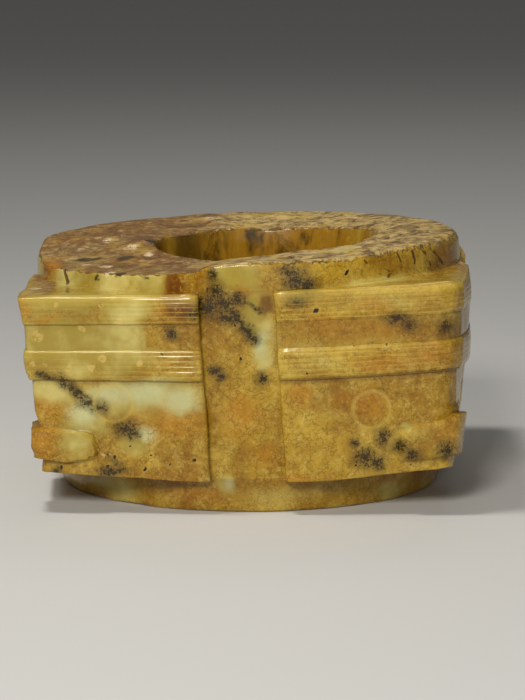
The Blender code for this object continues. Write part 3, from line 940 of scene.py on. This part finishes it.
# Places in mm, read off the front of the stone
INK_MARKS = (
    (-6.6, 52.4, 1.4, 2.2), (-6, 49, 2.4, 3), (-7.4, 45.6, 4.2, 3.4), (-4.4, 46.6, 2.6, 3),
    (-3.4, 43.4, 3.2, 2.2), (-10.2, 44.4, 2.2, 1.6), (-1.2, 47.2, 2.4, 2),
    (9.6, 53.2, 2.4, 1.8), (11.2, 51.2, 3.4, 3.2), (13.6, 50, 3, 2.8), (11.6, 47.4, 2.6, 1.8),
    (-15.3, 40, 1.7, 2), (-5.9, 31.6, 2.2, 1.6), (-5, 30.2, 1.6, 1.4), (4, 29.9, 1.8, 1.8),
    (33, 43.2, 3.4, 1.6), (35.6, 41.8, 2.4, 1.8), (43.4, 41.2, 2.2, 2.4),
    (-33.8, 24.6, 2.6, 1.6), (-31.2, 23.4, 2.4, 2), (-25.4, 18.9, 3.8, 2.6),
    (-24.2, 17.8, 2.8, 1.8), (30, 17, 2, 3), (26.4, 12.6, 3.2, 3), (29, 11.4, 2.4, 2.4),
    (33.6, 15.2, 2.6, 2), (36.4, 13.6, 2.4, 1.8), (43.6, 14.6, 2.8, 2.6), (-29, 9.4, 4, 1.4),
    (-40.6, 9.2, 1.8, 1.2), (24, 15.8, 1.4, 1.2),
)
INK_VEINS = (
    ((-6.6, -47, 49.6), (-3, -47, 46.6), 0.9), ((-3.6, -47, 46.6), (2.4, -47, 38.4), 1.6),
    ((-1.4, -47, 48.4), (3.6, -47, 44.8), 0.7), ((-44, -46, 30.9), (-38.6, -46, 29.4), 1.3),
    ((-39.4, -46, 29.6), (-32, -46.6, 23.2), 1.7), ((-29.6, -46, 12.8), (-25.6, -46, 9.8), 1.2),
)
DOTS = (
    (-17.4, 35.5, 0.34), (-0.4, 34.2, 0.4), (15.7, 45.4, 0.72), (22, 52.6, 0.55),
    (30.6, 37.8, 0.34), (-10.7, 12, 0.6), (-15.9, 11.2, 0.3), (-20.1, 13.2, 0.36),
    (-21.3, 10, 0.5), (-24.6, 15, 0.26), (-27.8, 12.6, 0.46), (-29.7, 10.4, 0.46),
    (-39.5, 9.9, 0.55), (13.4, 31.4, 0.34), (24.2, 11.2, 0.32), (-2, 42, 0.3), (36, 11, 0.3),
)
# The small mark at x 35.6, z 19.2 on the top left corner of the right nose bar is a painted
# highlight; the others are pale zones of the stone
PALE_MARKS = (
    (-38.5, 37.4, 13, 7.6), (-27.5, 36.6, 9, 7.2), (-37, 47.4, 12, 4.6), (-33, 48, 14, 2.8),
    (28, -38.5, 47.6, 17, 9, 3.4), (14, -38.5, 34, 9, 9, 3.6), (38.5, -38.6, 17.8, 7.5, 9, 3.2),
    (4, -36, 3.5, 16, 7.2, 4), (-25, 45.5, 7, 4), (-25, 25.6, 12, 5.4), (-14.5, 26.4, 6, 4.6),
    (-42.5, 26.4, 6, 3.6), (-33, 20.5, 5, 3), (-36, 16.8, 4.6, 4.6), (-24, 15.4, 4, 2.6),
    (-3, 52.4, 4, 3.6), (2.8, 44.6, 3.4, 7.4), (4.8, 36.6, 2.4, 5), (35.6, 19.2, 1.6, 1.2),
    (0.6, 52, 4.4, 4), (-40, -30, 50, 9, 9, 4.6), (-30, -37, 51, 9, 9, 4.4),
    (-20, -43, 51.5, 6, 7, 4), (-3.5, -43.5, 5.9, 2.6, 6, 2), (32.5, -28.5, 3.4, 5, 6, 2.6),
    (-30, -31, 3.4, 9, 9, 3),
)
AMBER_MARKS = (
    (-47.8, 45.4, 2.6, 2.6), (-42, 43.1, 4, 0.8), (-15.2, 50.4, 3.6, 5),
    (-14.4, 45.4, 4.6, 3.6), (-28.4, 49.8, 3, 2.4), (27.6, 46.4, 4.6, 3),
    (-43.4, 22.9, 5.6, 2.4), (-44, 16.2, 4.4, 4.4), (-15.4, 21.6, 8, 5.6),
    (-23, 20.4, 3.4, 2.4), (44, 17.4, 3, 3.4), (21.6, 25.6, 4, 2.2), (-1, 21.6, 6, 6),
    (5, 13.6, 4, 3), (40.6, 35.6, 6, 4), (0, 48.4, 2.6, 3), (-46, -18, 51, 5, 10, 4),
    (-10, -43, 3.6, 9, 8, 2.6), (27, 24.6, 6, 5), (11, 7, 9, 2.4), (16, 42, 8, 3),
    (-46.5, 10.8, 4, 2.4), (12, 27, 4, 5), (24, 40.2, 20, 3.2), (30, 34, 9, 2),
)
MILK_MARKS = (
    (-22, 27, 9, 3.6), (-13.4, 25.4, 5, 3), (-34, 22, 5, 4), (-29, 26.6, 5, 3),
    (-20.6, 17.6, 2.6, 2), (4.4, 38, 1.8, 4), (-2.6, 6, 1.6, 1.4), (-31, 50.4, 5, 1.6),
)
RUSSET_MARKS = (
    (-15, 49.8, 3.6, 5.2), (-13.4, 45.2, 4.4, 3), (-15.8, 53, 1.6, 3.2), (4.8, 46.2, 2.2, 3.6),
    (-46, -20, 50.6, 3, 8, 3),
)
BUBBLES = (
    (-34.6, 40.7, 0.85), (-40.2, 45.9, 0.6), (-30.4, 46.4, 0.55), (-45.3, 33.2, 0.5),
    (-42.8, 33, 0.5), (-37.4, 32.3, 0.6), (-32.6, 32.2, 0.75), (-30.2, 34.4, 0.85),
    (-26.6, 42.4, 0.75), (-44.2, 39, 1.1), (-27.8, 47.8, 0.5), (-22, 33.4, 0.6),
)
CRACKS = (
    ((22.4, -41.9, 53.1), (23.9, -45.4, 49.6), 0.18),
    ((30.2, -36.8, 49.8), (31.9, -35.4, 51.6), 0.34),
    ((31.9, -35.4, 51.6), (29.3, -37.4, 53.4), 0.18),
    ((22.8, -47.7, 40.9), (23.9, -47.7, 37.4), 0.18),
    ((-40.4, -25, 50.9), (-39.4, -26.9, 48.2), 0.8), ((14, -47, 50), (14.6, -47, 55), 0.16),
    ((-11, -47, 33), (-8.6, -47, 30), 0.14), ((36.6, -45, 53.6), (38.6, -43, 50.6), 0.36),
    ((-15.9, -45, 54.4), (-15.6, -47, 46.4), 0.2),
    ((36.4, -30.2, 55.6), (36.9, -29.8, 53.2), 0.44),
    ((40.6, -23.8, 55.6), (43.4, -19.6, 51.8), 0.5),
    ((38.6, -27.4, 56), (40.6, -25, 52.4), 0.4),
    ((33.2, -33.8, 55.6), (33.8, -33.4, 53.8), 0.34),
    ((26.2, -39.4, 55), (27, -39.2, 53.6), 0.3),
)
SCRATCHES = (
    ((-37.4, -46.6, 18.9), (-30.2, -45.2, 12.9), 0.34),
    ((-43.4, -46, 44.6), (-39.6, -46, 39), 0.22),
    ((-37, -46.6, 19.8), (-28.6, -45.2, 12.6), 0.16),
    ((-25.6, -46, 26), (-22.6, -46, 24.4), 0.12),
    ((-32.6, -46, 24.8), (-29.4, -46, 29.2), 0.18),
    ((-29.4, -46, 29.2), (-26, -46, 29.4), 0.16),
)
TOP_FLECKS = (
    (-31, -25.9, 51.2, 2, 2.6, 2), (-29.4, -35, 51.2, 1.7, 2.4, 2),
    (-27.2, -4.7, 53.8, 2.6, 3.6, 2), (-38.7, -3.7, 53.9, 2.6, 3, 2),
    (-22.4, -12, 52, 1.8, 2.4, 2), (-46, -34, 48, 2, 2.6, 2), (-33, 4, 53, 2, 3.4, 2),
    (-36, -20, 51.6, 1.6, 2.2, 2), (14, -28, 55.4, 3, 1.8, 2), (24, 30, 57, 3, 2.4, 2),
    (-10, 36, 56, 4, 2.4, 2),
)
PALE_SKIN = ((21.7, -25.7, 56.1, 4, 5, 3),)
GLOWING_RIM = ((-45, -20, 52, 5, 14, 3),)
BORE_SHADE = ((-15.5, 17, 50, 7, 6, 16),)
DARK_LENSES = (
    (-36.4, -12, 52, 4.2, 2.2, 2), (-27, -15.6, 51.6, 3.2, 3, 2), (-22.6, 0.6, 54, 2, 2.6, 2),
    (-26.8, -37.6, 51.4, 1.4, 1.4, 0.9), (-32.6, -35.2, 50.2, 1, 1.4, 1.2),
    (-20, -42, 51.2, 2.4, 1.2, 0.8),
)

HONEY = srgb(183, 149, 44)
DEEP_HONEY = srgb(147, 106, 20)
LIGHT_HONEY = srgb(213, 187, 88)
AMBER = srgb(176, 114, 8)
RUSSET = srgb(92, 38, 4)
PALE_GREEN = srgb(162, 142, 56)
CREAM = srgb(206, 192, 116)
MILK = srgb(198, 199, 148)
INK = srgb(46, 34, 8)
INK_HAZE = srgb(82, 64, 22)
CRACK_BROWN = srgb(88, 54, 8)
SCRATCH_TAN = srgb(220, 190, 108)
SKIN_BEIGE = srgb(204, 176, 112)
SKIN_BROWN = srgb(80, 54, 26)
SKIN_RUST = srgb(116, 68, 26)
FLECK = srgb(230, 206, 168)
LENS = srgb(38, 32, 18)
BORE_AMBER = srgb(156, 112, 26)
BORE_BROWN = srgb(34, 20, 5)

jade = bpy.data.materials.new("jade")
jade.use_nodes = True
tree = jade.node_tree
shader = tree.nodes["Principled BSDF"]
place = node("TexCoord", {}).outputs["Object"]
x, y, z = node("SeparateXYZ", {0: place}).outputs
weathered, bored, painted_shade_and_dirt, banded, painted_highlight, ringed = (
    node("Attribute", {}, attribute_name=name).outputs["Fac"] for name in masks
)

# Wobbled places make the ovals ragged: far for zones, less for the growths
zone_place = wobbled(place, 0.009, 0.0065, 3.0)
mark_place = wobbled(place, 0.0020, 0.0020, 3.0)
line_place = wobbled(place, 0.0030, 0.0015, 1.0)
hidden = step(y, -0.040, -0.028)
cloud = noise(place, 0.020, 4.0, 0.62)
mottle = noise(place, 0.0052, 4.0, 0.72, 0.6)
grain = noise(place, 0.0011, 2.0, 0.75)

# Honey ground, mottled from deep to light
ground = mix(step(cloud, 0.36, 0.64), DEEP_HONEY, HONEY)
ground = laid(ground, LIGHT_HONEY, step(mottle, 0.42, 0.76), 0.54)
ground = laid(ground, DEEP_HONEY, step(mottle, 0.50, 0.26), 0.48)

# Amber and russet stains, by their places on the front and by noise elsewhere
stain_noise = noise(place, 0.028, 4.0, 0.62)
amber = maths("ADD", nearest_mark(zone_place, AMBER_MARKS), swing(cloud, 1.0))
amber = most(step(amber, -0.25, 0.85), product(step(stain_noise, 0.54, 0.66), hidden))
ground = laid(ground, AMBER, amber, 0.54)
russet = maths("ADD", nearest_mark(mark_place, RUSSET_MARKS), swing(mottle, 0.8))
russet = most(step(russet, 0.0, 0.6), product(step(stain_noise, 0.62, 0.72), hidden))
ground = laid(ground, RUSSET, russet, 0.78)

# Pale zones end softly, but a straight-edged patch on the left of the front stays honey brown
pale_noise = noise(place, 0.042, 3.0, 0.55)
pale = maths("ADD", nearest_mark(zone_place, PALE_MARKS), swing(cloud, 0.9))
pale = step(pale, -0.32, 0.55)
PATCH_LEFT, PATCH_RIGHT = millimetres(-21.1, -20.6), millimetres(-8, -9.5)
PATCH_FOOT, PATCH_TOP = millimetres(36.4, 37), millimetres(43.4, 42.4)
patch = product(
    step(x, *PATCH_LEFT), step(z, *PATCH_FOOT), step(z, *PATCH_TOP), step(x, *PATCH_RIGHT)
)
pale = product(pale, rest_of(patch))
pale = most(pale, product(step(pale_noise, 0.53, 0.62), hidden))
pale_colour = mix(step(cloud, 0.42, 0.66), PALE_GREEN, CREAM)
pale_share = maths("SUBTRACT", 0.94, product(amber, 0.55))
pale_share = product(pale, maths("SUBTRACT", pale_share, product(russet, 0.7)))
ground = mix(pale_share, ground, pale_colour)
milk = maths("ADD", nearest_mark(zone_place, MILK_MARKS), swing(cloud, 0.8))
milk = product(step(milk, -0.20, 0.80), rest_of(patch))
ground = laid(ground, MILK, milk, 0.75)

# Crackle through the honey stone: the edges of warped cells in two sizes, in broken patches
warped = wobbled(place, 0.0018, 0.0024, 2.0)
crazed = 0.0
for wavelength, width, strength, low, high in (
    (0.0056, 0.016, 0.9, 0.46, 0.58), (0.0012, 0.12, 0.7, 0.34, 0.54)
):
    inputs = {"Vector": warped, "Scale": 1.0 / wavelength}
    cells = node("TexVoronoi", inputs, feature="DISTANCE_TO_EDGE").outputs["Distance"]
    broken = step(noise(place, 2.4 * wavelength, 2.0, 0.6), low, high)
    crazed = most(crazed, product(step(cells, width, 0.0), broken, strength))
solid = rest_of(product(pale, 0.90))
ground = laid(ground, CRACK_BROWN, crazed, solid, 0.70)
ground = laid(ground, LIGHT_HONEY, step(grain, 0.54, 0.70), solid, 0.30)
ground = laid(ground, CRACK_BROWN, step(grain, 0.45, 0.30), solid, 0.27)

# Fine level scratches from the rubbing of the bands
flat_place = vector_maths("MULTIPLY", place, (0.05, 0.05, 1.0))
rubbed = noise(flat_place, 0.00055, 3.0, 0.6)
ground = laid(ground, LIGHT_HONEY, step(rubbed, 0.52, 0.72), banded, 0.30)

# The wall of the bore: amber with dark streaks that run down it
tall_place = vector_maths("MULTIPLY", place, (1.0, 1.0, 0.45))
drips = noise(tall_place, 0.0072, 5.0, 0.68, 0.5)
bore_colour = mix(step(drips, 0.33, 0.54), BORE_BROWN, BORE_AMBER)
bore_colour = laid(bore_colour, HONEY, step(drips, 0.55, 0.72))
shade = step(nearest_mark(place, BORE_SHADE), 0.0, 0.6)
bore_colour = laid(bore_colour, BORE_BROWN, shade, 0.72)
ground = mix(product(bored, 0.88), ground, bore_colour)

# The weathered skin of the top: layered fibres, brown and rusty on the left, beige on the right
fibres = noise(place, 0.0024, 4.0, 0.72, 0.4)
layers = noise(place, 0.0085, 3.0, 0.6)
skin = mix(step(fibres, 0.34, 0.60), SKIN_BROWN, SKIN_BEIGE)
leftward = step(maths("ADD", x, swing(layers, 0.04)), 0.004, -0.020)
skin = laid(skin, SKIN_RUST, leftward, step(fibres, 0.76, 0.46), 0.80)
skin = laid(skin, SKIN_BROWN, leftward, 0.22)
skin = laid(skin, HONEY, step(layers, 0.52, 0.68), 0.55)
skin = laid(skin, SKIN_BROWN, step(layers, 0.48, 0.34), 0.6)
teeth = noise(vector_maths("MULTIPLY", place, (1.0, 1.0, 0.3)), 0.0024, 3.0, 0.7)
covered = maths("ADD", weathered, swing(teeth, 1.3))
cover = step(covered, 0.44, 0.56)
cover_edge = product(step(covered, 0.34, 0.46), step(covered, 0.72, 0.54))
skin = laid(skin, CREAM, step(nearest_mark(zone_place, PALE_SKIN), 0.0, 0.5), 0.7)
ground = mix(product(cover, 0.88), ground, skin)
ground = laid(ground, SKIN_BROWN, cover_edge, step(mottle, 0.46, 0.60), 0.7)
ground = laid(ground, AMBER, step(nearest_mark(zone_place, GLOWING_RIM), 0.0, 0.7), 0.90)
flecks = step(nearest_mark(mark_place, TOP_FLECKS), 0.05, 0.5)
flecks = product(flecks, step(grain, 0.40, 0.56))
flecks = most(flecks, product(cover, step(mottle, 0.66, 0.72), 0.6))
ground = laid(ground, FLECK, flecks, 0.85)
ground = laid(ground, LENS, step(nearest_mark(mark_place, DARK_LENSES), 0.0, 0.35), 0.85)

# Black growths: a brown haze with a mass of specks in it, thickest in the middle of each
growth = most(nearest_mark(mark_place, INK_MARKS), nearest_vein(mark_place, INK_VEINS))
far_growth = step(noise(place, 0.015, 3.0, 0.6), 0.64, 0.80)
far_growth = product(far_growth, hidden, rest_of(bored), 2.0)
growth = most(growth, maths("SUBTRACT", far_growth, 1.0))
specks = noise(place, 0.00065, 3.0, 0.80)
ground = laid(ground, INK_HAZE, step(growth, -0.50, 0.60), 0.62)
ink = maths("ADD", product(growth, 1.9), swing(specks, 6.6))
ink = product(step(ink, 0.50, 1.60), step(growth, -0.55, 0.15))
ground = laid(ground, INK, ink, 0.95)

# Dots with a pale halo, light bubbles, cracks and scratches
dots = nearest_mark(mark_place, DOTS)
ground = laid(ground, LIGHT_HONEY, step(dots, -0.95, -0.10), 0.12)
ground = laid(ground, INK, step(dots, 0.0, 0.35))
bubbles = nearest_mark(mark_place, BUBBLES)
ground = laid(ground, SCRATCH_TAN, step(bubbles, -0.25, 0.15), step(grain, 0.36, 0.54), 0.50)
ground = laid(ground, SCRATCH_TAN, step(nearest_vein(line_place, SCRATCHES), 0.0, 0.5), 0.6)
cracked = step(nearest_vein(line_place, CRACKS), 0.0, 0.6)
ground = laid(ground, CRACK_BROWN, cracked, 0.85)
# Painted shade, with some dirt, in the recesses of the carving and below the block
ground = laid(ground, CRACK_BROWN, painted_shade_and_dirt, 0.55)
ground = laid(ground, DEEP_HONEY, ringed, 0.08)
# Painted highlights on the cut lines, the eye rings and the edges of the bands and the ledge
ground = laid(ground, LIGHT_HONEY, painted_highlight, 0.38)
tree.links.new(ground, shader.inputs["Base Color"])

# Polished, but dull where the skin is weathered or the honey is light
POLISH_ROUGHNESS = 0.16
dull = maths("ADD", product(cover, 0.32), product(step(mottle, 0.35, 0.70), 0.12))
dull = maths("SUBTRACT", dull, product(painted_highlight, 0.04))
tree.links.new(maths("ADD", dull, POLISH_ROUGHNESS), shader.inputs["Roughness"])

# The relief of the skin's fibres, the grain and the cracks
height = product(cover, maths("ADD", fibres, product(grain, 0.5)))
height = maths("ADD", height, product(grain, 0.035))
height = maths("SUBTRACT", height, cracked)
relief = node("Bump", {"Strength": 0.8, "Distance": 0.0005, "Height": height})
tree.links.new(relief.outputs["Normal"], shader.inputs["Normal"])
for socket, value in {
    "IOR": 1.61, "Specular IOR Level": 0.28, "Subsurface Weight": 0.22,
    "Subsurface Radius": (1.0, 0.6, 0.25), "Subsurface Scale": 0.0025,
}.items():
    shader.inputs[socket].default_value = value
cong_mesh.materials.append(jade)


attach(cong, "root")
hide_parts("cong")


# The floor under the stone.
# It is one wide, flat, matt surface of plain pale paper.

FLOOR_CORNERS = ((-3, -3, 0), (3, -3, 0), (3, 3, 0), (-3, 3, 0))
floor_mesh = bpy.data.meshes.new("floor")
floor_mesh.from_pydata(FLOOR_CORNERS, [], [(0, 1, 2, 3)])
floor = bpy.data.objects.new("floor", floor_mesh)
bpy.context.scene.collection.objects.link(floor)
paper = bpy.data.materials.new("pale_paper")
paper.use_nodes = True
paper_shader = paper.node_tree.nodes["Principled BSDF"]
paper_shader.inputs["Base Color"].default_value = (0.64, 0.64, 0.63, 1)
paper_shader.inputs["Roughness"].default_value = 0.8
floor_mesh.materials.append(paper)


# Soft studio light.
# Four square lamps of warm white point at the middle of the stone, in a dim, even room.

WARM_WHITE = (1.0, 0.965, 0.90)
LAMP_AIM = Vector((0, 0, 0.03))
for name, place, size, power in (
    ("key", (-0.15, -0.90, 0.50), 0.20, 6.4),
    ("overhead", (-0.16, -0.12, 0.62), 0.10, 1.8),
    ("fill", (0.32, -1.02, 0.16), 0.7, 1.3),
    ("back", (0.10, 0.70, 0.90), 0.5, 0.9),
):
    lamp = bpy.data.lights.new(name, "AREA")
    lamp.energy, lamp.color, lamp.size = power, WARM_WHITE, size
    light = bpy.data.objects.new(name, lamp)
    light.location = place
    light.rotation_euler = (LAMP_AIM - Vector(place)).to_track_quat("-Z", "Y").to_euler()
    bpy.context.scene.collection.objects.link(light)

studio = bpy.data.worlds.new("studio")
studio.use_nodes = True
room = studio.node_tree.nodes["Background"]
room.inputs["Color"].default_value = (0.84, 0.83, 0.80, 1)
room.inputs["Strength"].default_value = 0.11
bpy.context.scene.world = studio


# The camera.
# It stands low in front, a little to the right, and was solved from the rims and block edges.

CAMERA_DISTANCE = 0.6943
CAMERA_ELEVATION = math.radians(8.8)
CAMERA_AZIMUTH = math.radians(1.64)
AIM_RIGHT = 0.002776
AIM_HEIGHT = 0.02907
SENSOR_WIDTH = 36.0
PICTURE_WIDTH = 525.0
FOCAL_PIXELS = 3018.6
back = Vector((
    math.sin(CAMERA_AZIMUTH) * math.cos(CAMERA_ELEVATION),
    -math.cos(CAMERA_AZIMUTH) * math.cos(CAMERA_ELEVATION),
    math.sin(CAMERA_ELEVATION),
))
right = Vector((math.cos(CAMERA_AZIMUTH), math.sin(CAMERA_AZIMUTH), 0.0))
lens = bpy.data.cameras.new("camera")
lens.sensor_fit = "HORIZONTAL"
lens.sensor_width = SENSOR_WIDTH
lens.lens = SENSOR_WIDTH * FOCAL_PIXELS / PICTURE_WIDTH
camera = bpy.data.objects.new("camera", lens)
camera.location = right * AIM_RIGHT + Vector((0, 0, AIM_HEIGHT)) + back * CAMERA_DISTANCE
camera.rotation_euler = (-back).to_track_quat("-Z", "Y").to_euler()
bpy.context.scene.collection.objects.link(camera)
bpy.context.scene.camera = camera
bpy.context.scene.view_settings.view_transform = "Standard"
